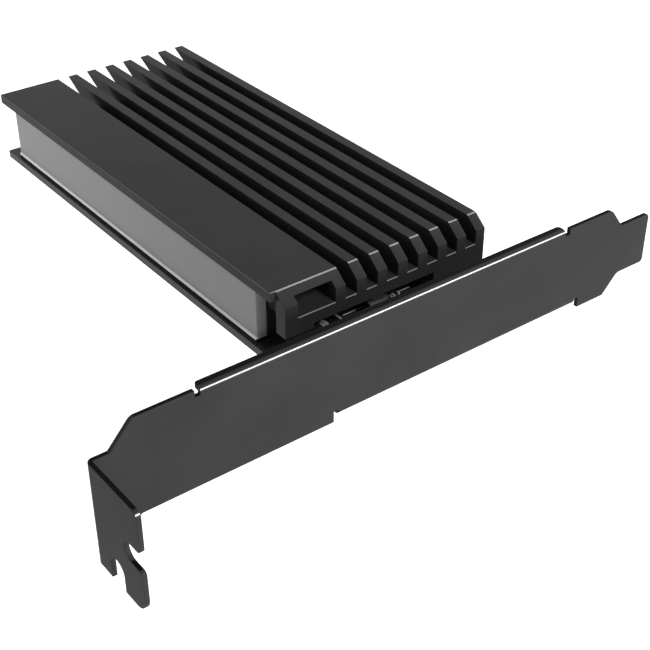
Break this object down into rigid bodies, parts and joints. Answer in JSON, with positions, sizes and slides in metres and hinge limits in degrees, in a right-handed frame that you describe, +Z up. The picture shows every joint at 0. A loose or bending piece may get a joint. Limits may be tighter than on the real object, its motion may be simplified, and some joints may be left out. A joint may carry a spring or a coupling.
{
  "type": "nvme adapter card",
  "caption": "Full-height expansion card adapter for a slim M.2 drive, with a black finned heat sink, a frosted light bar along its edge and a folded slot bracket.",
  "frame": {"origin": "on the bracket tab's seating face, in line with its screw slot and half way along the tab", "axes": "+X from the tab along the bracket to its tongue, +Y from the bracket along the card, +Z up from the board to the fins"},
  "size_m": [0.1201, 0.1328, 0.0241],
  "materials": {
    "bracket": "satin",
    "bracket_screws": "satin",
    "main_board": "satin",
    "edge_contacts_component_side": "gloss",
    "edge_contacts_solder_side": "gloss",
    "m2_socket_housing": "matte",
    "m2_socket_contacts": "satin",
    "m2_standoff": "satin",
    "m2_screw": "satin",
    "heatsink": "satin",
    "heatsink_screws": "satin",
    "thermal_pad": "matte",
    "light_bar": "frosted",
    "light_bar_backing": "matte",
    "light_strip_board": "satin",
    "strip_lamps": "gloss",
    "light_header_base": "matte",
    "light_header_pins": "gloss",
    "input_capacitors": "satin",
    "decoupling_capacitors": "satin",
    "coupling_capacitors": "satin",
    "chip_resistors": "satin",
    "status_lamp": "gloss",
    "chip_terminals": "satin",
    "regulator_chip": "matte",
    "light_controller_chip": "matte",
    "power_inductor": "matte"
  },
  "bodies": {
    "root": {"bracket": "bracket", "bracket_screws": "bracket_screws", "main_board": "main_board", "edge_contacts_component_side": "edge_contacts_component_side", "edge_contacts_solder_side": "edge_contacts_solder_side", "m2_socket_housing": "m2_socket_housing", "m2_socket_contacts": "m2_socket_contacts", "m2_standoff": "m2_standoff", "m2_screw": "m2_screw", "heatsink": "heatsink", "heatsink_screws": "heatsink_screws", "thermal_pad": "thermal_pad", "light_bar": "light_bar", "light_bar_backing": "light_bar_backing", "light_strip_board": "light_strip_board", "strip_lamps": "strip_lamps", "light_header_base": "light_header_base", "light_header_pins": "light_header_pins", "input_capacitors": "input_capacitors", "decoupling_capacitors": "decoupling_capacitors", "coupling_capacitors": "coupling_capacitors", "chip_resistors": "chip_resistors", "status_lamp": "status_lamp", "chip_terminals": "chip_terminals", "regulator_chip": "regulator_chip", "light_controller_chip": "light_controller_chip", "power_inductor": "power_inductor"}
  },
  "joints": []
}
